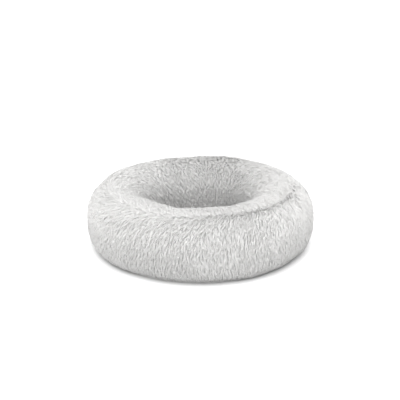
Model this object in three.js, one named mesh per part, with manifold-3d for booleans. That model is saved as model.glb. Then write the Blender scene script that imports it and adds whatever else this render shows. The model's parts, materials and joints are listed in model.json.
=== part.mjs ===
// Round pet cushion bed: a long-pile cover over a filled ring and a sunken seat, closed by a
// zip round the back of the base seam. Millimetres, +Z up, the front of the bed towards -Y,
// and the origin on the floor at the centre of the base.
import * as THREE from 'three';
import { mergeGeometries, mergeVertices } from 'three/addons/utils/BufferGeometryUtils.js';
import Module from 'manifold-3d';

const wasm = await Module();
wasm.setup();

// ---- Driving dimensions ----------------------------------------------------------------

const bed = {
  radius: 290, // widest point, over the pile
  height: 163, // top of the crown, over the pile
  waist: 82, // height at which the ring is widest and the well narrowest
};
const ring = {
  outerHalf: 77, // crown line out to the widest point
  innerHalf: 86, // crown line in to the narrowest point of the well
  crownPower: 2.24, // roundness of the upper half, where 2 is an ellipse
  footPower: 3.75, // the lower half is squarer, as it stands on the floor
  corePower: 3, // lower half of the filled core, on the well side
  panel: 16, // cloth and pile together
  seamOffset: 18, // the crown seam lies this far outside the crown line
};
const seat = {
  padMiddle: 12, // height of the pad's widest point
  padRise: 27, // from there up to its crown
  padTuck: 12, // how far the pad runs under the wall of the well
  padPower: 4, // squareness of the pad's underside
  panel: 16.5, // cloth and pile together
};
const base = {
  cloth: 1.6,
  tuck: 3.6, // how far the base seam hides inside the toe of the pile
};
const binding = { foot: 0.2, width: 4.1, thickness: 1.2 };
const zip = {
  height: 18, // centre line of the chain above the floor
  tapeThickness: 0.7,
  tapeFoot: 0.4, // lower edge of the lower tape
  tapeReach: 16, // upper edge of the upper tape above the centre line
  hemReach: 10, // hem of the back wall above the centre line
  halfGap: 0.8, // half the slot in which the slider's post runs
  coilWidth: 2.4,
  coilThickness: 2.2,
};
const slider = {
  length: 13,
  halfWidth: 4.9,
  innerPlate: 1.2,
  outerPlate: 1.3,
  flange: 1,
  flangeLift: 0.7, // flange edge clear of the tape
  postWidth: 1,
  run: 0.6, // running clearance to tape and coils
  coreClearance: 1, // inner plate clear of the filled ring
};
const bail = { reach: 4.2, leg: 1.2, width: 2, bar: 1, room: 2.5 }; // room is under the bar
const pull = {
  length: 22, // hinge line to tip
  width: 7,
  thickness: 1.2,
  web: 1.2, // the bar of the tab that is held under the bail
  slotReach: 5.5, // hinge line to the far end of the slot
  slotWidth: 4,
  tipRadius: 3,
  lift: 0.1, // hinge line above the middle of the room under the bail
};
const stop = { length: 3, thickness: 1, lip: 0.8, fromSeam: 27, clearance: 0.8 };
const label = { length: 30, width: 18, thickness: 0.5, fromEdge: 2, bearing: 100 };
const liner = 1; // cloth of the inner cushions
const fillGap = 0.4; // between a liner and its filling
const coreGap = 0.8; // between a cover panel and the cushion inside it
const seamGap = 0.3; // between two panels that are sewn edge to edge

const coverSegments = 60; // facets round the cover and the zip
const coreSegments = 36; // facets round the cushions inside
const sectionStep = Math.PI / 8; // angle between the points of a section's arcs

// ---- Places worked out from them -------------------------------------------------------

const crownRadius = bed.radius - ring.outerHalf;
const wellRadius = crownRadius - ring.innerHalf;
const seamRadius = crownRadius + ring.seamOffset;
const crownRise = bed.height - bed.waist;

/** A superellipse about (r, z), reaching `across` sideways and `up` upwards. */
const oval = (across, up, power, z = bed.waist, r = crownRadius) => ({ r, z, across, up, power });
const heightAngle = (curve, height) =>
  Math.asin((Math.abs(height - curve.z) / curve.up) ** (curve.power / 2));
const radiusAngle = (curve, radius) =>
  Math.acos(((radius - curve.r) / curve.across) ** (curve.power / 2));
/** Half-width of a superellipse at a height. */
const reachAt = (curve, height) =>
  curve.across * (1 - (Math.abs(height - curve.z) / curve.up) ** curve.power) ** (1 / curve.power);

const outerTop = oval(ring.outerHalf, crownRise, ring.crownPower);
const innerTop = oval(ring.innerHalf, crownRise, ring.crownPower);
const outerFoot = oval(ring.outerHalf, bed.waist, ring.footPower);
const innerFoot = oval(ring.innerHalf, bed.waist, ring.footPower);

const frontHem = binding.foot + binding.width + seamGap;
const backHem = zip.height + zip.hemReach;
const tapeTop = zip.height + zip.tapeReach;
const hemRadius = crownRadius + reachAt(outerFoot, frontHem) - base.tuck;
const tapeOuter = hemRadius - seamGap;
const tapeInner = tapeOuter - zip.tapeThickness;
const baseRadius = tapeInner - seamGap;
const coilInner = tapeOuter + seamGap;
const coilOuter = coilInner + zip.coilThickness;
const coilEdge = zip.halfGap + zip.coilWidth;
const sliderInner = tapeInner - slider.run - slider.innerPlate;
const sliderOuter = coilOuter + slider.run + slider.outerPlate;
const hingeRadius = sliderOuter + bail.room / 2 + pull.lift;
const coreFoot = base.cloth + coreGap;
const coreSide = sliderInner - slider.coreClearance;
const padRadius = wellRadius + seat.padTuck;

/** Angle, in degrees, that a length along the chain takes up. */
const alongAngle = (length) => THREE.MathUtils.radToDeg(length / coilOuter);
const stopBearing = alongAngle(stop.fromSeam + stop.length / 2);
const sliderBearing = alongAngle(stop.fromSeam + stop.length + stop.clearance + slider.length / 2);

// ---- Materials -------------------------------------------------------------------------

const finish = (color, roughness, metalness = 0) => ({ color, roughness, metalness });
const finishes = {
  pile: finish(0xd9d8d5, 0.95),
  baseCloth: finish(0x8b8d90, 0.9),
  tape: finish(0xcfcfcc, 0.85),
  coil: finish(0xc4c4c1, 0.45),
  metal: finish(0xb4b6b8, 0.3, 1),
  ribbon: finish(0xf2f2ee, 0.5),
  liner: finish(0xf1f1ee, 0.85),
  filling: finish(0xfafafa, 1),
};

// ---- Curves ----------------------------------------------------------------------------

const point = (r, z) => new THREE.Vector2(r, z);

/**
 * Points of a superellipse between two angles, counted from straight outwards. Between its ends
 * they keep to whole steps, so that the facets of two neighbouring arcs lie side by side.
 */
function ovalArc(curve, from, to) {
  const first = Math.ceil(Math.min(from, to) / sectionStep + 0.2);
  const last = Math.floor(Math.max(from, to) / sectionStep - 0.2);
  const between = Array.from({ length: Math.max(0, last - first + 1) }, (_, i) => (first + i) * sectionStep);
  return [from, ...(from < to ? between : between.reverse()), to].map((angle) => {
    const along = Math.cos(angle);
    const rise = Math.sin(angle);
    return point(
      curve.r + curve.across * Math.sign(along) * Math.abs(along) ** (2 / curve.power),
      curve.z + curve.up * Math.sign(rise) * Math.abs(rise) ** (2 / curve.power),
    );
  });
}

/** The backing's flank: it leaves `start` at a slant and is upright where it reaches `end`. */
function flank(start, end, steps = 3) {
  return Array.from({ length: steps + 1 }, (_, i) =>
    point(
      start.x + (end.x - start.x) * Math.sin((Math.PI / 2) * (i / steps)),
      start.y + (end.y - start.y) * (i / steps),
    ),
  );
}

/** Joins runs of points end to end, dropping a point that repeats the one before it. */
function chain(...runs) {
  const points = runs.flat();
  return points.filter((p, i) => i === 0 || p.distanceTo(points[i - 1]) > 1e-6);
}

const quarter = Math.PI / 2;

// ---- Solids of revolution --------------------------------------------------------------

/** Merged, position-only copy of a geometry. */
function welded(geometry) {
  geometry.deleteAttribute('normal');
  geometry.deleteAttribute('uv');
  return mergeVertices(geometry);
}

/** The section counterclockwise, so that its faces point out once it is turned. */
function counterclockwise(section) {
  return THREE.ShapeUtils.isClockWise(section) ? [...section].reverse() : section;
}

/** A section turned all the way round. It closes on itself, unless it ends on the axis. */
function turned(section, segments) {
  const loop = counterclockwise(section);
  const open = loop.some((p) => p.x === 0);
  const start = open ? loop.findIndex((p, i) => p.x === 0 && loop.at(i - 1).x === 0) : 0;
  const ordered = [...loop.slice(start), ...loop.slice(0, start)];
  const profile = open ? ordered : [...ordered, ordered[0]];
  return welded(new THREE.LatheGeometry(profile, segments)).rotateX(quarter);
}

/** A section turned through half the bed, front or back, with flat ends at the side seams. */
function halfTurned(section, back) {
  const loop = counterclockwise(section);
  const trim = seamGap / 2 / Math.min(...loop.map((p) => p.x));
  const start = (back ? quarter : -quarter) + trim;
  const sweep = Math.PI - 2 * trim;
  const skin = new THREE.LatheGeometry([...loop, loop[0]], coverSegments / 2, start, sweep);
  const cap = new THREE.ShapeGeometry(new THREE.Shape(loop));
  const startCap = cap.clone().rotateY(start - quarter);
  const endCap = cap.clone().rotateY(start + sweep - quarter);
  endCap.setIndex([...endCap.index.array].reverse());
  return welded(mergeGeometries([skin, startCap, endCap])).rotateX(quarter);
}

/** A rectangle of the section, from its radii and heights. */
const band = (inner, outer, low, high) => [
  point(inner, low),
  point(outer, low),
  point(outer, high),
  point(inner, high),
];

// ---- Cover panels ----------------------------------------------------------------------

const backRise = crownRise - ring.panel;
const outerBack = oval(ring.outerHalf - ring.panel, backRise, ring.crownPower);
const innerBack = oval(ring.innerHalf - ring.panel, backRise, ring.crownPower);
const innerBackFoot = oval(ring.innerHalf - ring.panel, bed.waist - base.cloth, ring.corePower);

/** Outer wall from the crown seam down to a hem, with its backing beside the zip tape. */
function outerWallSection(hem) {
  const seam = seamRadius + seamGap / 2;
  return chain(
    ovalArc(outerTop, radiusAngle(outerTop, seam), 0),
    ovalArc(outerFoot, 0, -heightAngle(outerFoot, hem)),
    [point(hemRadius, hem)],
    flank(point(hemRadius, tapeTop), point(bed.radius - ring.panel, bed.waist)),
    ovalArc(outerBack, 0, radiusAngle(outerBack, seam)),
  );
}

const padTop = (radius) =>
  seat.padMiddle + seat.padRise * Math.sqrt(1 - (radius / padRadius) ** 2);
const seatUnderside = (radius) => padTop(radius) + coreGap;
const seatEdgeTop = seatUnderside(wellRadius) + seat.panel;
const seatEdge = crownRadius - reachAt(innerFoot, seatEdgeTop) - seamGap;
const wellHem = seatUnderside(seatEdge);

/** Crown and inner wall, from the crown seam over and down to the seam round the seat. */
function innerWallSection() {
  const seam = seamRadius - seamGap / 2;
  return chain(
    ovalArc(outerTop, radiusAngle(outerTop, seam), quarter),
    ovalArc(innerTop, quarter, 2 * quarter),
    ovalArc(innerFoot, 2 * quarter, 2 * quarter + heightAngle(innerFoot, wellHem)),
    ovalArc(innerBackFoot, 2 * quarter + heightAngle(innerBackFoot, wellHem), 2 * quarter),
    ovalArc(innerBack, 2 * quarter, quarter),
    ovalArc(outerBack, quarter, radiusAngle(outerBack, seam)),
  );
}

function seatSection(steps = 4) {
  const radii = Array.from({ length: steps + 1 }, (_, i) => seatEdge * Math.sin((quarter * i) / steps));
  return [
    ...radii.map((radius) => point(radius, seatUnderside(radius))),
    ...radii.reverse().map((radius) => point(radius, seatUnderside(radius) + seat.panel)),
  ];
}

// ---- Cushions inside -------------------------------------------------------------------

/**
 * Outline of the filled ring, drawn `inset` inside its skin: `upper` runs from the outer waist
 * over the top to the well side, and `lower` comes back underneath. `split` parts them.
 */
function ringCore(inset, split = 0) {
  const top = bed.waist + split / 2;
  const bottom = bed.waist - split / 2;
  const out = ring.outerHalf - ring.panel - coreGap - inset;
  const into = ring.innerHalf - ring.panel - coreGap - inset;
  const rise = bed.height - ring.panel - coreGap - inset - top;
  const foot = oval(coreSide - crownRadius - inset, tapeTop - coreFoot - inset, 2, tapeTop);
  return {
    upper: chain(
      ovalArc(oval(out, rise, ring.crownPower, top), 0, quarter),
      ovalArc(oval(into, rise, ring.crownPower, top), quarter, 2 * quarter),
    ),
    lower: chain(
      ovalArc(oval(into, bottom - coreFoot - inset, ring.corePower, bottom), 2 * quarter, 3 * quarter),
      ovalArc(foot, 3 * quarter, 4 * quarter),
      flank(point(coreSide - inset, tapeTop), point(crownRadius + out, bottom)),
    ),
  };
}

/** Outline of the seat pad, from its rim to the axis, above and below. */
function seatCore(inset, split = 0) {
  const top = seat.padMiddle + split / 2;
  const bottom = seat.padMiddle - split / 2;
  const reach = padRadius - inset;
  const onAxis = (points) => [...points.slice(0, -1), point(0, points.at(-1).y)];
  const rise = seat.padMiddle + seat.padRise - inset - top;
  return {
    upper: onAxis(ovalArc(oval(reach, rise, 2, top, 0), 0, quarter)),
    lower: onAxis(ovalArc(oval(reach, bottom - coreFoot - inset, seat.padPower, bottom, 0), 0, -quarter)),
  };
}

/** A cloth skin between an outline and the same outline drawn one cloth further in. */
const skinSection = (core, half) => chain(
  core(0, seamGap)[half],
  core(liner, seamGap)[half].reverse(),
);

function ringFillSection() {
  const { upper, lower } = ringCore(liner + fillGap);
  return chain(upper, lower.slice(0, -1));
}

function seatFillSection() {
  const { upper, lower } = seatCore(liner + fillGap);
  return chain([...upper].reverse(), lower);
}

// ---- Zip -------------------------------------------------------------------------------

const zipZ = (offset) => zip.height + offset;

/** A section in (outwards, upwards) drawn out along the chain and centred on its bearing. */
function alongChain(outline, length) {
  const shape = new THREE.Shape(outline);
  const solid = new THREE.ExtrudeGeometry(shape, { depth: length, bevelEnabled: false });
  return solid.translate(0, 0, -length / 2).rotateX(quarter);
}

/** A top stop: crimped over the outside and one edge of a coil. */
function topStopOutline(side) {
  const face = coilOuter + seamGap;
  const edge = coilEdge + seamGap;
  return [
    point(face, side * zip.halfGap),
    point(face + stop.thickness, side * zip.halfGap),
    point(face + stop.thickness, side * (edge + stop.lip)),
    point(coilInner, side * (edge + stop.lip)),
    point(coilInner, side * edge),
    point(face, side * edge),
  ].map((p) => point(p.x, zipZ(p.y)));
}

/** The bottom stop: crimped over both coils. */
function bottomStopOutline() {
  const face = coilOuter + seamGap;
  const edge = coilEdge + seamGap;
  const half = [
    point(face + stop.thickness, edge + stop.lip),
    point(coilInner, edge + stop.lip),
    point(coilInner, edge),
    point(face, edge),
  ];
  const mirrored = [...half].reverse().map((p) => point(p.x, -p.y));
  return [...half, ...mirrored].map((p) => point(p.x, zipZ(p.y)));
}

/** Across the slider: two plates joined by the post, the outer one with turned-in flanges. */
function sliderOutline() {
  const channel = coilOuter + slider.run;
  const half = [
    point(sliderOuter, slider.halfWidth),
    point(tapeOuter + slider.flangeLift, slider.halfWidth),
    point(tapeOuter + slider.flangeLift, slider.halfWidth - slider.flange),
    point(channel, slider.halfWidth - slider.flange),
    point(channel, slider.postWidth / 2),
    point(sliderInner + slider.innerPlate, slider.postWidth / 2),
    point(sliderInner + slider.innerPlate, slider.halfWidth),
    point(sliderInner, slider.halfWidth),
  ];
  const mirrored = [...half].reverse().map((p) => point(p.x, -p.y));
  return [...half, ...mirrored].map((p) => point(p.x, zipZ(p.y)));
}

/** The bail that holds the pull, an arch standing on the slider's outer plate. */
function bailSolid() {
  const sunk = slider.outerPlate / 2;
  const top = sliderOuter + bail.room + bail.bar;
  const under = sliderOuter + bail.room;
  const arch = new THREE.Shape([
    point(sliderOuter - sunk, -bail.reach),
    point(top, -bail.reach),
    point(top, bail.reach),
    point(sliderOuter - sunk, bail.reach),
    point(sliderOuter - sunk, bail.reach - bail.leg),
    point(under, bail.reach - bail.leg),
    point(under, bail.leg - bail.reach),
    point(sliderOuter - sunk, bail.leg - bail.reach),
  ]);
  const solid = new THREE.ExtrudeGeometry(arch, { depth: bail.width, bevelEnabled: false });
  return solid.translate(0, 0, zipZ(-bail.width / 2));
}

function toManifold(geometry) {
  const solid = welded(geometry);
  return new wasm.Manifold(new wasm.Mesh({
    numProp: 3,
    vertProperties: new Float32Array(solid.attributes.position.array),
    triVerts: new Uint32Array(solid.index.array),
  }));
}

/** Two overlapping solids as one. */
function joined(first, second) {
  const mesh = toManifold(first).add(toManifold(second)).getMesh();
  const geometry = new THREE.BufferGeometry();
  geometry.setAttribute('position', new THREE.BufferAttribute(mesh.vertProperties, 3));
  geometry.setIndex([...mesh.triVerts]);
  return geometry;
}

/** The pull, lying along the chain from its hinge line at y = 0 towards +Y. */
function pullSolid() {
  const halfWidth = pull.width / 2;
  const halfSlot = pull.slotWidth / 2;
  const tip = pull.tipRadius;
  const outline = new THREE.Shape();
  outline.moveTo(-halfWidth, -pull.web / 2);
  outline.lineTo(halfWidth, -pull.web / 2);
  outline.lineTo(halfWidth, pull.length - tip);
  outline.absarc(halfWidth - tip, pull.length - tip, tip, 0, quarter, false);
  outline.lineTo(tip - halfWidth, pull.length);
  outline.absarc(tip - halfWidth, pull.length - tip, tip, quarter, 2 * quarter, false);
  outline.closePath();
  outline.holes.push(new THREE.Path([
    point(-halfSlot, pull.web / 2),
    point(-halfSlot, pull.slotReach),
    point(halfSlot, pull.slotReach),
    point(halfSlot, pull.web / 2),
  ]));
  const settings = { depth: pull.thickness, bevelEnabled: false, curveSegments: 6 };
  const solid = new THREE.ExtrudeGeometry(outline, settings);
  return welded(solid.translate(0, 0, -pull.thickness / 2)).rotateY(quarter);
}

// ---- Assembly --------------------------------------------------------------------------

const petBed = new THREE.Group();

function piece(name, geometry, look, parent = petBed) {
  const mesh = new THREE.Mesh(geometry, new THREE.MeshStandardMaterial(look));
  mesh.name = name;
  parent.add(mesh);
  return mesh;
}

/** A group turned to a bearing, in degrees from +X round to the back. */
function atBearing(degrees) {
  const turn = new THREE.Group();
  turn.rotation.z = THREE.MathUtils.degToRad(degrees);
  petBed.add(turn);
  return turn;
}

piece('outer_wall_front', halfTurned(outerWallSection(frontHem), false), finishes.pile);
piece('outer_wall_back', halfTurned(outerWallSection(backHem), true), finishes.pile);
piece('inner_wall_front', halfTurned(innerWallSection(), false), finishes.pile);
piece('inner_wall_back', halfTurned(innerWallSection(), true), finishes.pile);
piece('seat_panel', turned(seatSection(), coverSegments), finishes.pile);

const clothBand = [point(0, 0), point(baseRadius, 0), point(baseRadius, base.cloth), point(0, base.cloth)];
piece('base_cloth', turned(clothBand, coverSegments), finishes.baseCloth);

const bindingOuter = tapeInner + binding.thickness;
const bindingBand = band(tapeInner, bindingOuter, binding.foot, binding.foot + binding.width);
piece('base_binding', halfTurned(bindingBand, false), finishes.tape);

const upperTape = band(tapeInner, tapeOuter, zipZ(zip.halfGap), tapeTop);
const lowerTape = band(tapeInner, tapeOuter, zip.tapeFoot, zipZ(-zip.halfGap));
const upperCoil = band(coilInner, coilOuter, zipZ(zip.halfGap), zipZ(coilEdge));
const lowerCoil = band(coilInner, coilOuter, zipZ(-coilEdge), zipZ(-zip.halfGap));
piece('zip_tape_upper', halfTurned(upperTape, true), finishes.tape);
piece('zip_tape_lower', halfTurned(lowerTape, true), finishes.tape);
piece('zip_coil_upper', halfTurned(upperCoil, true), finishes.coil);
piece('zip_coil_lower', halfTurned(lowerCoil, true), finishes.coil);

const closedEnd = atBearing(stopBearing);
const openEnd = atBearing(180 - stopBearing);
piece('zip_top_stop_upper', welded(alongChain(topStopOutline(1), stop.length)), finishes.metal, closedEnd);
piece('zip_top_stop_lower', welded(alongChain(topStopOutline(-1), stop.length)), finishes.metal, closedEnd);
piece('zip_bottom_stop', welded(alongChain(bottomStopOutline(), stop.length)), finishes.metal, openEnd);

const sliderPlace = atBearing(sliderBearing);
const sliderBody = joined(alongChain(sliderOutline(), slider.length), bailSolid());
piece('zip_slider', sliderBody, finishes.metal, sliderPlace);
const tab = piece('zip_pull', pullSolid(), finishes.metal, sliderPlace);
tab.position.set(hingeRadius, 0, zip.height);

const labelPlace = atBearing(label.bearing);
const ribbon = new THREE.BoxGeometry(label.length, label.width, label.thickness);
const tag = piece('care_label', welded(ribbon), finishes.ribbon, labelPlace);
tag.position.set(
  baseRadius - label.fromEdge - label.length / 2,
  0,
  base.cloth + seamGap + label.thickness / 2,
);

piece('ring_liner_upper', turned(skinSection(ringCore, 'upper'), coreSegments), finishes.liner);
piece('ring_liner_lower', turned(skinSection(ringCore, 'lower'), coreSegments), finishes.liner);
piece('ring_fill', turned(ringFillSection(), coreSegments), finishes.filling);
piece('seat_liner_upper', turned(skinSection(seatCore, 'upper'), coreSegments), finishes.liner);
piece('seat_liner_lower', turned(skinSection(seatCore, 'lower'), coreSegments), finishes.liner);
piece('seat_fill', turned(seatFillSection(), coreSegments), finishes.filling);

export default petBed;
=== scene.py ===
"""Looks for a round plush pet cushion bed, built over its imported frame.

A stuffed ring and a seat pad sit inside a removable cover. The cover's walls and seat are pile cloth,
its base is a dotted non-slip cloth, and a coil zip runs round the back just above the floor.
Lengths are in metres and angles in radians, unless a name or a comment says degrees.
"""

import json
import logging
import math
from dataclasses import dataclass, field, replace
from enum import Enum
from functools import reduce
from typing import Any

import bmesh
import bpy
import numpy as np
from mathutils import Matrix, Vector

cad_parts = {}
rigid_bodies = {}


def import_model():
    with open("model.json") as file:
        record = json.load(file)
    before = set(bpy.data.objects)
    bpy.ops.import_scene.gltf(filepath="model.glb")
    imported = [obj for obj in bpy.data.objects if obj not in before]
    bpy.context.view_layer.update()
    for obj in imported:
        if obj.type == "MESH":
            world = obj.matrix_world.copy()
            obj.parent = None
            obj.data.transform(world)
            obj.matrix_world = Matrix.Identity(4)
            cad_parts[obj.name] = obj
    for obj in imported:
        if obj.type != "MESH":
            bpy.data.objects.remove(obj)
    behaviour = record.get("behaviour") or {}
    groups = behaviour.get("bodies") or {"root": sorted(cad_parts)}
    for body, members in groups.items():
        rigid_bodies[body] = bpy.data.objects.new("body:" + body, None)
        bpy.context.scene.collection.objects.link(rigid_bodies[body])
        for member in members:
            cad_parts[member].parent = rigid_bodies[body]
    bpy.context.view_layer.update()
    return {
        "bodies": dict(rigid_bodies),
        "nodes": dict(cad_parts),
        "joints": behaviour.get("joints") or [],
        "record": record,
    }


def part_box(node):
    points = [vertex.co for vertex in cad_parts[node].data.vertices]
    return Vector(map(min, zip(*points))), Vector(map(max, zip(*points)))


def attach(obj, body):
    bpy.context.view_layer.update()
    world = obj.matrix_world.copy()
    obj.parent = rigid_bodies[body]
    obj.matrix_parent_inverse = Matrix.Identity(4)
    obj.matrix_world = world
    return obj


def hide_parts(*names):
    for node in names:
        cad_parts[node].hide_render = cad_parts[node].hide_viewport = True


LOG = logging.getLogger("pet_cushion_bed")
BAKE_MAP = "OFBake"
Socket = bpy.types.NodeSocket
Face = tuple[int, ...]
Colour = tuple[float, float, float]
Point = tuple[float, float, float]


class Body(Enum):
    """The body that the pieces ride on. The slider and the pull are the frame's own parts."""

    COVER = "cover"


class Slot(Enum):
    """The record's material slots."""

    PILE = "pile_fabric"
    BASE = "base_cloth"
    TAPE = "zip_tape"
    COIL = "zip_coil"
    METAL = "zip_metal"
    RIBBON = "ribbon"
    LINER = "liner_cloth"


class Half(Enum):
    """The two sides of the zip."""

    UPPER = "upper"
    LOWER = "lower"


# ---------------------------------------------------------------- node trees


class Graph:
    """Adds nodes to one tree and feeds their sockets."""

    def __init__(self, tree: bpy.types.NodeTree) -> None:
        """Keeps the shader or geometry tree to add to."""
        self.tree = tree

    def feed(self, node: bpy.types.Node, key: int | str, value: Any) -> None:
        """Links a socket to an input, or sets the input's own value.

        Args:
            node: The node that is fed.
            key: The input's place, identifier or name.
            value: A socket, or a plain value.
        """
        found = None if isinstance(key, int) else [s for s in node.inputs if s.identifier == key]
        socket = found[0] if found else node.inputs[key]
        if isinstance(value, Socket):
            self.tree.links.new(value, socket)
        else:
            socket.default_value = value

    def add(self, kind: str, feeds: dict[int | str, Any] | None = None, out: int | str = 0,
            **settings: Any) -> Socket:
        """Adds one node.

        Args:
            kind: The node's type name.
            feeds: Inputs by place, identifier or name.
            out: The output wanted.
            **settings: Properties set before the inputs.

        Returns:
            The wanted output socket.
        """
        node = self.tree.nodes.new(kind)
        for name, value in settings.items():
            setattr(node, name, value)
        for key, value in (feeds or {}).items():
            self.feed(node, key, value)
        return node.outputs[out]

    def math(self, operation: str, *values: Any) -> Socket:
        """A number from a Math node."""
        return self.add("ShaderNodeMath", dict(enumerate(values)), operation=operation)

    def plus(self, *values: Any) -> Socket:
        """The sum of several numbers."""
        return reduce(lambda a, b: self.math("ADD", a, b), values)

    def times(self, *values: Any) -> Socket:
        """The product of several numbers."""
        return reduce(lambda a, b: self.math("MULTIPLY", a, b), values)

    def vector(self, operation: str, *values: Any) -> Socket:
        """A vector from a Vector Math node."""
        return self.add("ShaderNodeVectorMath", dict(enumerate(values)), operation=operation)

    def total(self, *vectors: Any) -> Socket:
        """The sum of several vectors."""
        return reduce(lambda a, b: self.vector("ADD", a, b), vectors)

    def scaled(self, vector: Any, size: Any) -> Socket:
        """A vector times a number."""
        return self.add("ShaderNodeVectorMath", {0: vector, "Scale": size}, operation="SCALE")

    def length(self, vector: Any) -> Socket:
        """A vector's length."""
        return self.add("ShaderNodeVectorMath", {0: vector}, "Value", operation="LENGTH")

    def between(self, value: Any, low: Any, high: Any, to_low: Any, to_high: Any) -> Socket:
        """A number mapped from one range to another, and kept in it."""
        return self.add("ShaderNodeMapRange", {0: value, 1: low, 2: high, 3: to_low, 4: to_high})

    def axes(self, vector: Any) -> Any:
        """A vector's three numbers."""
        return self.add("ShaderNodeSeparateXYZ", {0: vector}).node.outputs

    def spot(self, x: Any = 0.0, y: Any = 0.0, z: Any = 0.0) -> Socket:
        """A vector from three numbers."""
        return self.add("ShaderNodeCombineXYZ", {0: x, 1: y, 2: z})

    def noise(self, where: Any, scale: float, detail: float, out: int | str = 0) -> Socket:
        """A smooth random field."""
        return self.add("ShaderNodeTexNoise", {"Vector": where, "Scale": scale, "Detail": detail}, out)


@dataclass(frozen=True)
class Spread:
    """A random range, whose number is the same for all points of one owner."""

    low: float
    high: float
    seed: int

    def of(self, graph: Graph, owner: Socket) -> Socket:
        """The owner's number."""
        return graph.add("FunctionNodeRandomValue", {"Min_001": self.low, "Max_001": self.high, "ID": owner,
                                                     "Seed": self.seed}, 1, data_type="FLOAT")


# ------------------------------------------------------------------ finishes


@dataclass(frozen=True)
class Finish:
    """A surface: its colour and how it takes the light."""

    name: str
    colour: Colour
    roughness: float = 0.8
    metallic: float = 0.0
    specular: float = 0.3
    sheen: float = 0.0
    sheen_roughness: float = 0.45

    def material(self) -> bpy.types.Material:
        """The finish's material, made once.

        Returns:
            The material that every piece with this finish shares.
        """
        known = bpy.data.materials.get(self.name)
        if known:
            return known
        made = bpy.data.materials.new(self.name)
        made.use_nodes = True
        shader = made.node_tree.nodes["Principled BSDF"]
        for key, value in (("Base Color", (*self.colour, 1.0)), ("Roughness", self.roughness),
                           ("Metallic", self.metallic), ("Specular IOR Level", self.specular),
                           ("Sheen Weight", self.sheen), ("Sheen Roughness", self.sheen_roughness)):
            shader.inputs[key].default_value = value
        self.paint(Graph(made.node_tree), shader)
        return made

    def paint(self, graph: Graph, shader: bpy.types.Node) -> None:
        """Adds a faint uneven tone. Finishes with a pattern of their own replace this.

        Args:
            graph: The material's tree.
            shader: Its main shader.
        """
        cloud = graph.noise(self.place(graph), 60.0, 4.0)
        self.tint(graph, shader, graph.between(cloud, 0.3, 0.7, 0.94, 1.04))

    def place(self, graph: Graph) -> Socket:
        """The point on the piece."""
        return graph.add("ShaderNodeTexCoord", out="Object")

    def tint(self, graph: Graph, shader: bpy.types.Node, level: Any) -> None:
        """Feeds the base colour with the finish's colour times a level."""
        graph.feed(shader, "Base Color", graph.scaled(self.colour, level))

    def relief(self, graph: Graph, shader: bpy.types.Node, height: Any, depth: float,
               strength: float = 1.0) -> None:
        """Raises the surface by a height field.

        Args:
            graph: The material's tree.
            shader: Its main shader.
            height: The field, from 0 to 1.
            depth: What 1 stands for.
            strength: How much of it shows.
        """
        feeds = {"Height": height, "Distance": depth, "Strength": strength}
        graph.feed(shader, "Normal", graph.add("ShaderNodeBump", feeds, "Normal"))


@dataclass(frozen=True)
class PileFinish(Finish):
    """Long plush fibre. The first map coordinate is the lock's tone and the second runs from root to tip."""

    # Painted shade: how dark a strand's root is, standing in for shade deep in the pile.
    painted_root_shade: float = 0.97
    dark: float = 0.94
    light: float = 1.04
    # Painted shade near the floor: the level at the lowest height, and the heights over which it fades out.
    floor_shade_level: float = 0.80
    low_height: float = 0.012
    floor_shade_top: float = 0.105

    def paint(self, graph: Graph, shader: bpy.types.Node) -> None:
        """Shades each strand by its tone, with painted shade that darkens it at the root and painted shade
        that darkens it near the floor.

        Args:
            graph: The material's tree.
            shader: Its main shader.
        """
        strand = graph.axes(graph.add("ShaderNodeUVMap", uv_map=BAKE_MAP))
        tone = graph.between(strand[0], 0.0, 1.0, self.dark, self.light)
        # Painted shade: strands are a little darker towards the root, where shade falls between them.
        depth = graph.between(strand[1], 0.0, 0.7, self.painted_root_shade, 1.0)
        # Painted shade: the pile gets darker towards the floor, below a set height.
        height = graph.axes(self.place(graph))[2]
        painted_floor_shade = graph.between(height, self.low_height, self.floor_shade_top, self.floor_shade_level, 1.0)
        self.tint(graph, shader, graph.times(tone, depth, painted_floor_shade))


@dataclass(frozen=True)
class KnitFinish(Finish):
    """The knitted ground that the pile stands on."""

    loops_per_metre: float = 900.0
    depth: float = 0.0006

    def paint(self, graph: Graph, shader: bpy.types.Node) -> None:
        """Small loops in rows.

        Args:
            graph: The material's tree.
            shader: Its main shader.
        """
        feeds = {"Vector": self.place(graph), "Scale": self.loops_per_metre}
        loops = graph.add("ShaderNodeTexVoronoi", feeds, "Distance")
        self.tint(graph, shader, graph.between(loops, 0.0, 0.8, 1.05, 0.8))
        self.relief(graph, shader, loops, self.depth)


@dataclass(frozen=True)
class WovenFinish(Finish):
    """Plain weave: warp and weft cross at a set pitch, with slubs."""

    pitch: float = 0.0012
    depth: float = 0.0003

    def paint(self, graph: Graph, shader: bpy.types.Node) -> None:
        """Two crossed sets of threads and an uneven dye.

        Args:
            graph: The material's tree.
            shader: Its main shader.
        """
        where = self.place(graph)
        axes = graph.axes(graph.scaled(where, math.tau / self.pitch))
        warp = graph.math("SINE", axes[0])
        weft = graph.math("SINE", graph.plus(axes[1], axes[2]))
        weave = graph.between(graph.times(warp, weft), -1.0, 1.0, 0.0, 1.0)
        slub = graph.noise(where, 90.0, 5.0)
        self.tint(graph, shader, graph.times(graph.between(weave, 0.0, 1.0, 0.84, 1.06),
                                             graph.between(slub, 0.3, 0.7, 0.93, 1.05)))
        self.relief(graph, shader, weave, self.depth)


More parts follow.
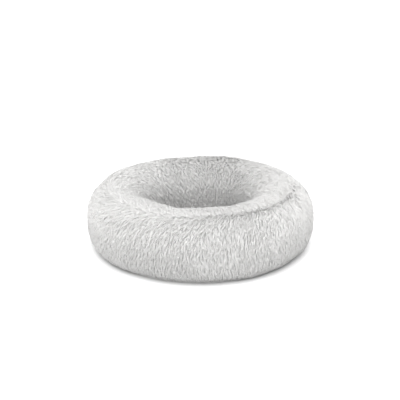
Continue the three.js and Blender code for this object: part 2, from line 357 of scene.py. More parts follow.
@dataclass(frozen=True)
class RibbedFinish(Finish):
    """Narrow woven tape: fine ribs round the bed, with a stagger like a twill."""

    pitch: float = 0.0011
    depth: float = 0.0002
    bed_radius: float = 0.2585
    stagger: float = 0.9

    def paint(self, graph: Graph, shader: bpy.types.Node) -> None:
        """Ribs by height and bearing.

        Args:
            graph: The material's tree.
            shader: Its main shader.
        """
        turns = math.tau / self.pitch
        axes = graph.axes(self.place(graph))
        along = graph.times(graph.math("ARCTAN2", axes[1], axes[0]), self.bed_radius * turns)
        wave = graph.times(graph.math("SINE", along), self.stagger)
        rib = graph.math("SINE", graph.plus(graph.times(axes[2], turns), wave))
        weave = graph.between(rib, -1.0, 1.0, 0.0, 1.0)
        self.tint(graph, shader, graph.between(weave, 0.0, 1.0, 0.82, 1.05))
        self.relief(graph, shader, weave, self.depth)


@dataclass(frozen=True)
class MetalFinish(Finish):
    """Plated zinc, brushed by handling."""

    stretch: Point = (1.0, 1.0, 9.0)
    depth: float = 0.00008

    def paint(self, graph: Graph, shader: bpy.types.Node) -> None:
        """Fine scratches and a cloudy shine.

        Args:
            graph: The material's tree.
            shader: Its main shader.
        """
        stretched = graph.add("ShaderNodeMapping", {"Vector": self.place(graph), "Scale": self.stretch})
        scratch = graph.noise(stretched, 700.0, 3.0)
        graph.feed(shader, "Roughness", graph.between(scratch, 0.3, 0.7, 0.2, 0.42))
        self.tint(graph, shader, graph.between(scratch, 0.3, 0.7, 0.9, 1.05))
        self.relief(graph, shader, scratch, self.depth, 0.5)


@dataclass(frozen=True)
class FloorFinish(Finish):
    """A white studio floor with painted light: it glows except under and close to the bed, and a painted
    shadow darkens it just under the bed's edge.
    """

    # Painted light: the floor's own emission, and the radii over which it starts.
    glow: float = 0.40
    glow_from: float = 0.260
    glow_to: float = 0.292
    # Painted shadow: how dark the floor is just under the bed's edge, and the radii it fades over.
    contact_shadow_level: float = 0.85
    contact_shadow_from: float = 0.256
    contact_shadow_to: float = 0.266

    def paint(self, graph: Graph, shader: bpy.types.Node) -> None:
        """A painted glow of light that starts a little way out from the bed, and a painted shadow just under
        the bed's edge.

        Args:
            graph: The material's tree.
            shader: Its main shader.
        """
        out = graph.length(self.place(graph))
        # Painted light: the floor emits from a little way out from the bed, hiding the bed's shadow there.
        glow = graph.between(out, self.glow_from, self.glow_to, 0.0, self.glow)
        graph.feed(shader, "Emission Strength", glow)
        # Painted shadow: the floor's colour is darker just under the bed's edge.
        self.tint(graph, shader, graph.between(out, self.contact_shadow_from, self.contact_shadow_to, self.contact_shadow_level, 1.0))
        shader.inputs["Emission Color"].default_value = (1.0, 1.0, 1.0, 1.0)


PILE = PileFinish("plush_pile", (0.818, 0.814, 0.806), roughness=1.0, specular=0.05, sheen=0.08)
GROUND = KnitFinish("pile_ground_knit", (0.8, 0.8, 0.79), roughness=0.95, specular=0.1)
BASE = WovenFinish("base_oxford", (0.33, 0.34, 0.35), roughness=0.85, specular=0.2)
TAPE = RibbedFinish("zip_tape_weave", (0.70, 0.70, 0.69), roughness=0.8, specular=0.2)
BINDING = RibbedFinish("binding_tape", (0.55, 0.55, 0.54), roughness=0.85, specular=0.2, pitch=0.0014)
COIL = Finish("zip_coil_nylon", (0.74, 0.74, 0.73), roughness=0.38, specular=0.5)
METAL = MetalFinish("zip_plating", (0.52, 0.52, 0.53), roughness=0.3, metallic=1.0, specular=0.5)
SATIN = WovenFinish("label_satin", (0.85, 0.85, 0.84), roughness=0.42, specular=0.4, sheen=0.2, pitch=0.0005,
                    depth=0.0001)
LINER = WovenFinish("cushion_liner", (0.82, 0.82, 0.81), roughness=0.9, specular=0.15, pitch=0.0016)
THREAD = Finish("sewing_thread", (0.74, 0.74, 0.73), roughness=0.6, sheen=0.3)
GRIP = Finish("grip_dots", (0.12, 0.12, 0.125), roughness=0.5, specular=0.4)
FLOOR = FloorFinish("floor_white", (0.80, 0.80, 0.80), roughness=0.9, specular=0.1)


# ------------------------------------------------------------ mesh and pieces


def new_object(name: str, mesh: bpy.types.Mesh) -> bpy.types.Object:
    """A linked object at the origin.

    Args:
        name: The piece's name.
        mesh: Its mesh, in place.

    Returns:
        The object.
    """
    made = bpy.data.objects.new(name, mesh)
    bpy.context.scene.collection.objects.link(made)
    return made


def discard(piece: bpy.types.Object) -> None:
    """Removes a helper object and its mesh.

    Args:
        piece: The helper.
    """
    mesh = piece.data
    bpy.data.objects.remove(piece)
    bpy.data.meshes.remove(mesh)


def smoothed(mesh: bpy.types.Mesh) -> None:
    """Shades every face smooth."""
    mesh.polygons.foreach_set("use_smooth", [True] * len(mesh.polygons))


def close_up(mesh: bpy.types.Mesh, gap: float = 1e-6) -> None:
    """Merges doubled points and turns every face outwards.

    Args:
        mesh: A closed shape.
        gap: How near two points are to be one.
    """
    work = bmesh.new()
    work.from_mesh(mesh)
    bmesh.ops.remove_doubles(work, verts=work.verts, dist=gap)
    bmesh.ops.recalc_face_normals(work, faces=work.faces)
    work.to_mesh(mesh)
    work.free()


def solid(name: str, points: np.ndarray, faces: list[Face], finish: Finish) -> bpy.types.Object:
    """A closed, smooth piece from points and faces.

    Args:
        name: The piece's name.
        points: Its points.
        faces: Its faces.
        finish: Its surface.

    Returns:
        The object.
    """
    mesh = bpy.data.meshes.new(name)
    mesh.from_pydata(points.reshape(-1, 3).tolist(), [], faces)
    close_up(mesh)
    smoothed(mesh)
    mesh.materials.append(finish.material())
    return new_object(name, mesh)


def grid_faces(rounds: int, rows: int, start: int = 0, ring: bool = False) -> list[Face]:
    """Quads over a grid of points stored round by round.

    Args:
        rounds: How many rounds there are.
        rows: How many points each has.
        start: The index of the first point.
        ring: Whether the last round joins the first.

    Returns:
        The quads.
    """
    faces = []
    for i in range(rounds if ring else rounds - 1):
        here, there = start + i * rows, start + (i + 1) % rounds * rows
        faces += [(here + j, there + j, there + j + 1, here + j + 1) for j in range(rows - 1)]
    return faces


def tube_faces(rounds: int, rows: int, ring: bool = False) -> list[Face]:
    """Quads between the rounds of a tube, each of whose rounds is a loop, with its ends closed.

    Args:
        rounds: How many rounds there are.
        rows: How many points each has.
        ring: Whether the last round joins the first, so that there are no ends.

    Returns:
        The faces.
    """
    faces = []
    for i in range(rounds if ring else rounds - 1):
        here, there = i * rows, (i + 1) % rounds * rows
        faces += [(here + j, there + j, there + (j + 1) % rows, here + (j + 1) % rows) for j in range(rows)]
    if not ring:
        faces += [tuple(range(rows)), tuple(reversed(range((rounds - 1) * rows, rounds * rows)))]
    return faces


def shell_faces(rounds: int, rows: int, ring: bool = False) -> list[Face]:
    """Faces of a thin sheet whose upper points come first and its lower points after them.

    Args:
        rounds: How many rounds each layer has.
        rows: How many points each round has.
        ring: Whether the last round joins the first.

    Returns:
        The faces of both layers and of the edges between them.
    """
    size = rounds * rows
    faces = grid_faces(rounds, rows, 0, ring) + [f[::-1] for f in grid_faces(rounds, rows, size, ring)]
    for i in range(rounds if ring else rounds - 1):
        here, there = i * rows, (i + 1) % rounds * rows
        faces += [(here + j, there + j, there + j + size, here + j + size) for j in (0, rows - 1)]
    for i in () if ring else (0, rounds - 1):
        faces += [(i * rows + j, i * rows + j + 1, i * rows + j + 1 + size, i * rows + j + size)
                  for j in range(rows - 1)]
    return faces


def circle(count: int) -> np.ndarray:
    """Angles evenly round a circle, from 0."""
    return np.linspace(0, math.tau, count + 1)[:-1]


def arc(start: float, end: float, step: float = 1.5) -> np.ndarray:
    """Bearings from start to end, given in degrees, about step degrees apart."""
    return np.radians(np.linspace(start, end, max(2, round((end - start) / step) + 1)))


def spin(name: str, loop: np.ndarray, bearings: np.ndarray, finish: Finish,
         ring: bool = False) -> bpy.types.Object:
    """Sweeps a closed section round the bed's axis.

    Args:
        name: The piece's name.
        loop: The section's corners, as (radius, height).
        bearings: The angles it passes.
        finish: Its surface.
        ring: Whether it goes all the way round.

    Returns:
        The closed object.
    """
    around = np.stack((np.cos(bearings), np.sin(bearings)), 1)
    points = np.concatenate((loop[None, :, :1] * around[:, None, :],
                             np.broadcast_to(loop[None, :, 1:], (len(bearings), len(loop), 1))), 2)
    return solid(name, points, tube_faces(len(bearings), len(loop), ring), finish)


def rounded(low: tuple[float, float], high: tuple[float, float], radius: float, steps: int = 3) -> np.ndarray:
    """A rectangle with rounded corners.

    Args:
        low: Its lowest corner.
        high: Its highest corner.
        radius: The corners' radius.
        steps: Points in each corner, less one.

    Returns:
        Its corners in order.
    """
    centres = ((high[0] - radius, high[1] - radius), (low[0] + radius, high[1] - radius),
               (low[0] + radius, low[1] + radius), (high[0] - radius, low[1] + radius))
    return np.array([(x + radius * math.cos(a), y + radius * math.sin(a))
                     for k, (x, y) in enumerate(centres)
                     for a in np.linspace(k * math.pi / 2, (k + 1) * math.pi / 2, steps + 1)])


def place(piece: bpy.types.Object, body: Body, slot: Slot, *nodes: str) -> bpy.types.Object:
    """Puts a finished piece on its body.

    Args:
        piece: The piece.
        body: What it rides on.
        slot: The record's slot; not used.
        *nodes: The frame's nodes that it stands for.

    Returns:
        The piece.
    """
    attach(piece, body.value)
    if nodes:
        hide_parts(*nodes)
    LOG.info("%s: %d faces on %s", piece.name, len(piece.data.polygons), body.value)
    return piece


def evaluated(piece: bpy.types.Object, keep_layers: bool = False) -> bpy.types.Mesh:
    """The mesh that a piece's modifiers give, as a plain mesh.

    Args:
        piece: The piece.
        keep_layers: Whether its maps and attributes are kept.

    Returns:
        The new mesh.
    """
    view = bpy.context.evaluated_depsgraph_get()
    return bpy.data.meshes.new_from_object(piece.evaluated_get(view), preserve_all_data_layers=keep_layers,
                                           depsgraph=view)


# -------------------------------------------------------------- node makers


class ShapeGraph(Graph):
    """A geometry tree, whose points carry named numbers and vectors."""

    def index(self) -> Socket:
        """Each point's number."""
        return self.add("GeometryNodeInputIndex")

    def position(self) -> Socket:
        """Each point's place."""
        return self.add("GeometryNodeInputPosition")

    def named(self, name: str, kind: str = "FLOAT") -> Socket:
        """What each point carries under a name."""
        return self.add("GeometryNodeInputNamedAttribute", {"Name": name}, data_type=kind)

    def store(self, shape: Socket, name: str, value: Socket, kind: str = "FLOAT",
              domain: str = "POINT") -> Socket:
        """Gives each point or corner something to carry."""
        return self.add("GeometryNodeStoreNamedAttribute", {"Geometry": shape, "Name": name, "Value": value},
                        data_type=kind, domain=domain)

    def wander(self, where: Any, scale: float, size: Any) -> Socket:
        """A smooth random vector, about size long."""
        cloud = self.noise(where, scale, 1.0, "Color")
        return self.scaled(self.vector("SUBTRACT", cloud, (0.5, 0.5, 0.5)), size)


class Maker:
    """A Geometry Nodes tree with named inputs, run on a carrier mesh to give a plain mesh."""

    title = "maker"
    inputs: dict[str, Any] = {}
    kept: tuple[str, ...] = ()
    own_layers = ("sharp_face", "material_index")
    kinds = {float: "NodeSocketFloat", int: "NodeSocketInt", type(None): "NodeSocketMaterial"}

    def __init__(self) -> None:
        """Builds the tree once."""
        self.tree = bpy.data.node_groups.new(self.title, "GeometryNodeTree")
        self.identifiers: dict[str, str] = {}
        face = self.tree.interface
        for way in ("INPUT", "OUTPUT"):
            face.new_socket(name="Geometry", in_out=way, socket_type="NodeSocketGeometry")
        for name, value in {**self.inputs, "Finish": None}.items():
            socket = face.new_socket(name=name, in_out="INPUT", socket_type=self.kinds[type(value)])
            if value is not None:
                socket.default_value = value
            self.identifiers[name] = socket.identifier
        graph = ShapeGraph(self.tree)
        source = self.tree.nodes.new("NodeGroupInput").outputs
        grown = self.grow(graph, source[0], {name: source[name] for name in self.identifiers})
        smooth = graph.add("GeometryNodeSetShadeSmooth", {"Geometry": grown})
        real = graph.add("GeometryNodeRealizeInstances", {"Geometry": smooth})
        dressed = graph.add("GeometryNodeSetMaterial", {"Geometry": real, "Material": source["Finish"]})
        self.tree.links.new(dressed, self.tree.nodes.new("NodeGroupOutput").inputs[0])

    def grow(self, graph: ShapeGraph, carrier: Socket, ins: dict[str, Socket]) -> Socket:
        """Builds the shape from the carrier. Each maker has its own."""
        raise NotImplementedError

    def run(self, carrier: bpy.types.Object, name: str, finish: Finish, **values: Any) -> bpy.types.Object:
        """Runs the tree once.

        Args:
            carrier: The mesh that the tree reads.
            name: The new piece's name.
            finish: Its surface.
            **values: Inputs by name, with underscores for spaces.

        Returns:
            A plain mesh object, with no modifier.
        """
        modifier = carrier.modifiers.new(self.title, "NODES")
        modifier.node_group = self.tree
        modifier[self.identifiers["Finish"]] = finish.material()
        for key, value in values.items():
            modifier[self.identifiers[key.replace("_", " ")]] = value
        mesh = evaluated(carrier, keep_layers=True)
        carrier.modifiers.remove(modifier)
        for extra in [a.name for a in mesh.attributes if not a.is_required and not a.is_internal]:
            if extra not in (*self.kept, *self.own_layers):
                mesh.attributes.remove(mesh.attributes[extra])
        mesh.name = name
        return new_object(name, mesh)


@dataclass(frozen=True)
class Strand:
    """What the points of one strand of pile know.

    That is where it leaves the ground, the middle of its lock, the lock's number, its own number, and how
    far along it each point is, from 0 to 1.
    """

    root: Socket
    centre: Socket
    lock: Socket
    number: Socket
    t: Socket


class NapMaker(Maker):
    """Grows pile on a ground cloth: tapered strands, gathered into locks that share a bend."""

    title = "grow_nap"
    kept = (BAKE_MAP,)
    inputs = {"Strands": 185000.0, "Lock gap": 0.0030, "Steps": 3, "Half width": 0.0007, "Gather": 0.62,
              "Crinkle": 1.0, "Swirl": 0.35, "Start": 0.0, "Span": math.tau, "Seed": 1}
    most_locks = 60000.0
    lock_seed = 7
    sides = 3
    taper = 0.86
    taper_power = 1.8
    tones = 24
    tone_drift = (14.0, 0.3)
    swing_drift = (11.0, 0.75)
    curls = ((48.0, 0.004), (150.0, 0.0030))
    lock_tone, strand_tone = Spread(0.0, 0.4, 21), Spread(0.0, 0.4, 22)
    lock_swing, strand_swing = Spread(-0.45, 0.45, 1), Spread(-0.25, 0.25, 2)
    lock_reach, strand_reach = Spread(0.85, 1.12, 3), Spread(0.85, 1.1, 4)
    lock_rise, strand_rise = Spread(0.9, 1.08, 5), Spread(0.85, 1.1, 6)
    lock_lean = Spread(-0.15, 0.15, 7)
    strand_lowest = Spread(0.0, 0.0015, 8)

    def grow(self, graph: ShapeGraph, carrier: Socket, ins: dict[str, Socket]) -> Socket:
        """Roots, then points along each strand, then a three-sided tube.

        Args:
            graph: The tree.
            carrier: The ground, with its nap attributes.
            ins: The tree's inputs.

        Returns:
            The strands as one mesh.
        """
        roots = graph.add("GeometryNodeDistributePointsOnFaces",
                          {"Mesh": carrier, "Density": ins["Strands"], "Seed": ins["Seed"]})
        locks = graph.add("GeometryNodeDistributePointsOnFaces",
                          {"Mesh": carrier, "Distance Min": ins["Lock gap"], "Density Max": self.most_locks,
                           "Seed": graph.plus(ins["Seed"], self.lock_seed)}, distribute_method="POISSON")
        root, number = graph.position(), graph.named("strand", "INT")
        roots = graph.store(roots, "strand", graph.index(), "INT")
        roots = graph.add("GeometryNodeDeleteGeometry",
                          {"Geometry": roots, "Selection": self.outside(graph, root, ins)})
        twin = graph.add("GeometryNodeDuplicateElements", {"Geometry": roots, "Amount": ins["Steps"]},
                         domain="POINT").node
        last = graph.math("SUBTRACT", ins["Steps"], 1)
        points = graph.store(twin.outputs[0], "t", graph.math("DIVIDE", twin.outputs[1], last))
        lock = graph.add("GeometryNodeSampleNearest", {"Geometry": locks, "Sample Position": root},
                         domain="POINT")
        centre = graph.add("GeometryNodeSampleIndex", {"Geometry": locks, "Value": root, "Index": lock},
                           data_type="FLOAT_VECTOR", domain="POINT")
        strand = Strand(root, centre, lock, number, graph.named("t"))
        points = graph.store(points, "tone", self.tone(graph, strand))
        points = graph.add("GeometryNodeSetPosition",
                           {"Geometry": points, "Position": self.path(graph, ins, strand)})
        curves = graph.add("GeometryNodePointsToCurves",
                           {"Points": points, "Curve Group ID": number, "Weight": strand.t})
        ring = graph.add("GeometryNodeCurvePrimitiveCircle",
                         {"Resolution": self.sides, "Radius": ins["Half width"]})
        worn = graph.times(graph.math("POWER", strand.t, self.taper_power), self.taper)
        tubes = graph.add("GeometryNodeCurveToMesh",
                          {"Curve": curves, "Profile Curve": graph.store(ring, "k", graph.index()),
                           "Scale": graph.math("SUBTRACT", 1.0, worn), "Fill Caps": True})
        return graph.store(tubes, BAKE_MAP, self.map_spot(graph, strand.t), "FLOAT2", "CORNER")

    def outside(self, graph: ShapeGraph, root: Socket, ins: dict[str, Socket]) -> Socket:
        """Whether a root is outside the sector.

        Args:
            graph: The tree.
            root: Where the root is.
            ins: The tree's inputs, with the sector's start and span.

        Returns:
            1 for a root that goes.
        """
        axes = graph.axes(root)
        bearing = graph.math("SUBTRACT", graph.math("ARCTAN2", axes[1], axes[0]), ins["Start"])
        return graph.math("GREATER_THAN", graph.math("FLOORED_MODULO", bearing, math.tau), ins["Span"])

    def map_spot(self, graph: ShapeGraph, t: Socket) -> Socket:
        """A strand's place in the map: a narrow upright slice for its tone, from root to tip.

        Args:
            graph: The tree.
            t: How far along the strand the point is.

        Returns:
            The place, kept off the slice's edges so that no face of the map is flat.
        """
        k = graph.named("k")
        level = graph.math("FLOOR", graph.times(graph.named("tone"), self.tones - 0.01))
        across = graph.plus(level, graph.times(k, 0.3), 0.2)
        skew = graph.times(graph.math("COMPARE", k, 1.0, 0.1), 0.01)
        return graph.spot(graph.math("DIVIDE", across, float(self.tones)),
                          graph.plus(graph.times(t, 0.97), graph.plus(skew, 0.01)))

    def tone(self, graph: ShapeGraph, strand: Strand) -> Socket:
        """How light a strand is.

        Args:
            graph: The tree.
            strand: The strand.

        Returns:
            A number from 0 to 1.
        """
        scale, share = self.tone_drift
        drift = graph.times(graph.noise(strand.root, scale, 2.0), share)
        tone = graph.plus(self.lock_tone.of(graph, strand.lock), self.strand_tone.of(graph, strand.number),
                          drift)
        return graph.add("ShaderNodeClamp", {0: tone})

    def path(self, graph: ShapeGraph, ins: dict[str, Socket], strand: Strand) -> Socket:
        """Where a point of a strand lies.

        Args:
            graph: The tree.
            ins: The tree's inputs.
            strand: The strand.

        Returns:
            The point's position, never below the lowest that pile may hang there.
        """
        root, lock, number, t = strand.root, strand.lock, strand.number, strand.t
        out = graph.named("out", "FLOAT_VECTOR")
        along = graph.times(
            graph.named("reach"),
            graph.times(self.lock_reach.of(graph, lock), self.strand_reach.of(graph, number)))
        along = graph.times(along, t, graph.plus(graph.named("lean"), self.lock_lean.of(graph, lock)))
        rise = graph.times(graph.named("rise"),
                           graph.times(self.lock_rise.of(graph, lock), self.strand_rise.of(graph, number)))
        left = graph.math("SUBTRACT", 1.0, t)
        stand = graph.times(rise, graph.math("SUBTRACT", 1.0, graph.times(left, left)))
        up = graph.math("SUBTRACT", stand, graph.times(along, along, graph.named("bend")))
        drawn = graph.scaled(graph.vector("SUBTRACT", strand.centre, root),
                             graph.times(ins["Gather"], graph.named("clump"), t))
        spot = graph.total(root, graph.scaled(self.lay(graph, ins, strand, out), along),
                           graph.scaled(out, up), drawn)
        loose = graph.times(ins["Crinkle"], t)
        spot = graph.total(spot, *(graph.wander(spot, scale, graph.times(loose, size))
                                   for scale, size in self.curls))
        axes = graph.axes(spot)
        lowest = graph.plus(graph.named("lowest"), self.strand_lowest.of(graph, number))
        return graph.spot(axes[0], axes[1], graph.math("MAXIMUM", axes[2], lowest))

    def lay(self, graph: ShapeGraph, ins: dict[str, Socket], strand: Strand, out: Socket) -> Socket:
        """Which way a strand lies along the cloth: the nap's way, swung by its lock and a slow drift.

        Args:
            graph: The tree.
            ins: The tree's inputs.
            strand: The strand.
            out: The way out of the cloth.

        Returns:
            A direction.
        """
        nap = graph.named("nap", "FLOAT_VECTOR")
        side = graph.vector("CROSS_PRODUCT", out, nap)
        scale, most = self.swing_drift
        drift = graph.between(graph.noise(strand.root, scale, 2.0), 0.25, 0.75, -most, most)
        swing = graph.plus(self.lock_swing.of(graph, strand.lock), self.strand_swing.of(graph, strand.number),
                           drift)
        swing = graph.times(swing, ins["Swirl"])
        return graph.total(graph.scaled(nap, graph.math("COSINE", swing)),
                           graph.scaled(side, graph.math("SINE", swing)))


class RowMaker(Maker):
    """Repeats the carrier along an arc round the bed's axis, each one turned to face outwards."""

    title = "row_round_bed"
    inputs = {"Count": 10, "Radius": 0.25, "Height": 0.0, "Start": 0.0, "Span": math.pi, "Unevenness": 0.0}
    shift = Spread(-1.0, 1.0, 5)

    def grow(self, graph: ShapeGraph, carrier: Socket, ins: dict[str, Socket]) -> Socket:
        """Points on the arc, with the carrier on each.

        Args:
            graph: The tree.
            carrier: The shape to repeat, modelled at the origin with +X outwards.
            ins: The tree's inputs.

        Returns:
            The row.
        """
        index = graph.index()
        share = graph.math("DIVIDE", index, graph.math("SUBTRACT", ins["Count"], 1))
        bearing = graph.plus(ins["Start"], graph.times(share, ins["Span"]))
        height = graph.plus(ins["Height"], graph.times(self.shift.of(graph, index), ins["Unevenness"]))
        spot = graph.spot(graph.times(graph.math("COSINE", bearing), ins["Radius"]),
                          graph.times(graph.math("SINE", bearing), ins["Radius"]), height)
        row = graph.add("GeometryNodePoints", {"Count": ins["Count"], "Position": spot})
        return graph.add("GeometryNodeInstanceOnPoints",
                         {"Points": row, "Instance": carrier, "Rotation": graph.spot(z=bearing)})


class DotMaker(Maker):
    """Covers a disc with the carrier in staggered rows."""

    title = "dots_on_disc"
    inputs = {"Gap": 0.014, "Radius": 0.25, "Height": 0.0}
    margin = 2.4
    row_margin = 1.2

    def grow(self, graph: ShapeGraph, carrier: Socket, ins: dict[str, Socket]) -> Socket:
        """A staggered grid cut to the disc, with the carrier on each point.

        Args:
            graph: The tree.
            carrier: One dot, modelled at the origin.
            ins: The tree's inputs.

        Returns:
            The dots.
        """
        index, gap = graph.index(), ins["Gap"]
        wide = graph.math("CEIL", graph.math("DIVIDE", graph.times(ins["Radius"], self.margin), gap))
        wide = graph.plus(wide, 1.0)
        row = graph.math("FLOOR", graph.math("DIVIDE", index, wide))
        column = graph.math("SUBTRACT", index, graph.times(row, wide))
        half = graph.times(wide, 0.5)
        stagger = graph.times(graph.math("FLOORED_MODULO", row, 2.0), 0.5)
        x = graph.times(graph.math("SUBTRACT", graph.plus(column, stagger), half), gap)
        y = graph.times(graph.math("SUBTRACT", row, half), graph.times(gap, math.sqrt(0.75)))
        count = graph.times(wide, graph.times(wide, self.row_margin))
        grid = graph.add("GeometryNodePoints", {"Count": count, "Position": graph.spot(x, y, ins["Height"])})
        flat = graph.vector("MULTIPLY", graph.position(), (1.0, 1.0, 0.0))
        far = graph.math("GREATER_THAN", graph.length(flat), ins["Radius"])
        kept = graph.add("GeometryNodeDeleteGeometry", {"Geometry": grid, "Selection": far})
        return graph.add("GeometryNodeInstanceOnPoints", {"Points": kept, "Instance": carrier})


# -------------------------------------------------------------- the bed's form


@dataclass(frozen=True)
class BedForm:
    """The sizes that the sub-assemblies share."""

    radius: float
    height: float
    waist: float = 0.082
    outer_half: float = 0.077
    inner_half: float = 0.086
    crown_power: float = 2.24
    foot_power: float = 3.75
    seam_offset: float = 0.018
    pile_depth: float = 0.0070

    @classmethod
    def from_frame(cls) -> "BedForm":
        """The form with the frame's own radius and height."""
        return cls(radius=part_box("outer_wall_front")[1].x, height=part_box("inner_wall_front")[1].z)

    @property
    def crown(self) -> float:
        """The radius of the ring's middle line."""
        return self.radius - self.outer_half

    @property
    def seam(self) -> float:
        """The radius of the parting seam."""
        return self.crown + self.seam_offset

    def side(self, outer: bool, foot: float = 0.005, steps: int = 700) -> np.ndarray:
        """One side of the ring's section at the pile's ground, from the crown's top to its foot.

        Args:
            outer: The outer side, or the side in the well.
            foot: How far the ground is above the floor at its lowest.
            steps: How many rows.

        Returns:
            Rows of (radius, height).
        """
        turn = np.linspace(math.pi / 2, -math.pi / 2, steps)
        power = np.where(turn >= 0, self.crown_power, self.foot_power)
        half = (self.outer_half if outer else self.inner_half) - self.pile_depth
        up = np.where(turn >= 0, self.height - self.waist - self.pile_depth, self.waist - foot)
        across = half * np.abs(np.cos(turn)) ** (2 / power)
        z = self.waist + up * np.sign(np.sin(turn)) * np.abs(np.sin(turn)) ** (2 / power)
        return np.stack((self.crown + (across if outer else -across), z), 1)

    def outer_rows(self, hem: float, over: float = 0.0) -> np.ndarray:
        """The outer wall's ground.

        Args:
            hem: The height that it goes down to.
            over: How far it starts past the parting, on the crown's side.

        Returns:
            Rows of (radius, height), from the parting down.
        """
        rows = self.side(True)
        low = rows[:, 1] < self.waist
        return rows[(rows[:, 1] >= hem) & (low | (rows[:, 0] >= self.seam - over))]

    def inner_rows(self, hem: float, over: float = 0.0) -> np.ndarray:
        """The inner wall's ground.

        Args:
            hem: The height that it goes down to.
            over: How far it starts past the parting, on the outer side.

        Returns:
            Rows of (radius, height), from the parting over the crown and down the well.
        """
        crown = self.side(True)
        crown = crown[(crown[:, 0] < self.seam + over) & (crown[:, 1] > self.waist)][::-1]
        down = self.side(False)
        return np.concatenate((crown, down[1:][down[1:, 1] >= hem]))


def run_along(rows: np.ndarray) -> np.ndarray:
    """How far along the line each row is."""
    return np.concatenate(([0.0], np.cumsum(np.linalg.norm(np.diff(rows, axis=0), axis=1))))


def resampled(rows: np.ndarray, run: np.ndarray, wanted: np.ndarray) -> np.ndarray:
    """The rows' line at other distances along it."""
    return np.stack([np.interp(wanted, run, rows[:, i]) for i in range(2)], 1)


def evened(rows: np.ndarray, step: float) -> np.ndarray:
    """The rows' line again, with rows an even distance apart.

    Args:
        rows: Rows of (radius, height).
        step: About how far apart the new rows are.

    Returns:
        The new rows, with the same two ends.
    """
    run = run_along(rows)
    return resampled(rows, run, np.linspace(0.0, run[-1], max(3, round(run[-1] / step) + 1)))


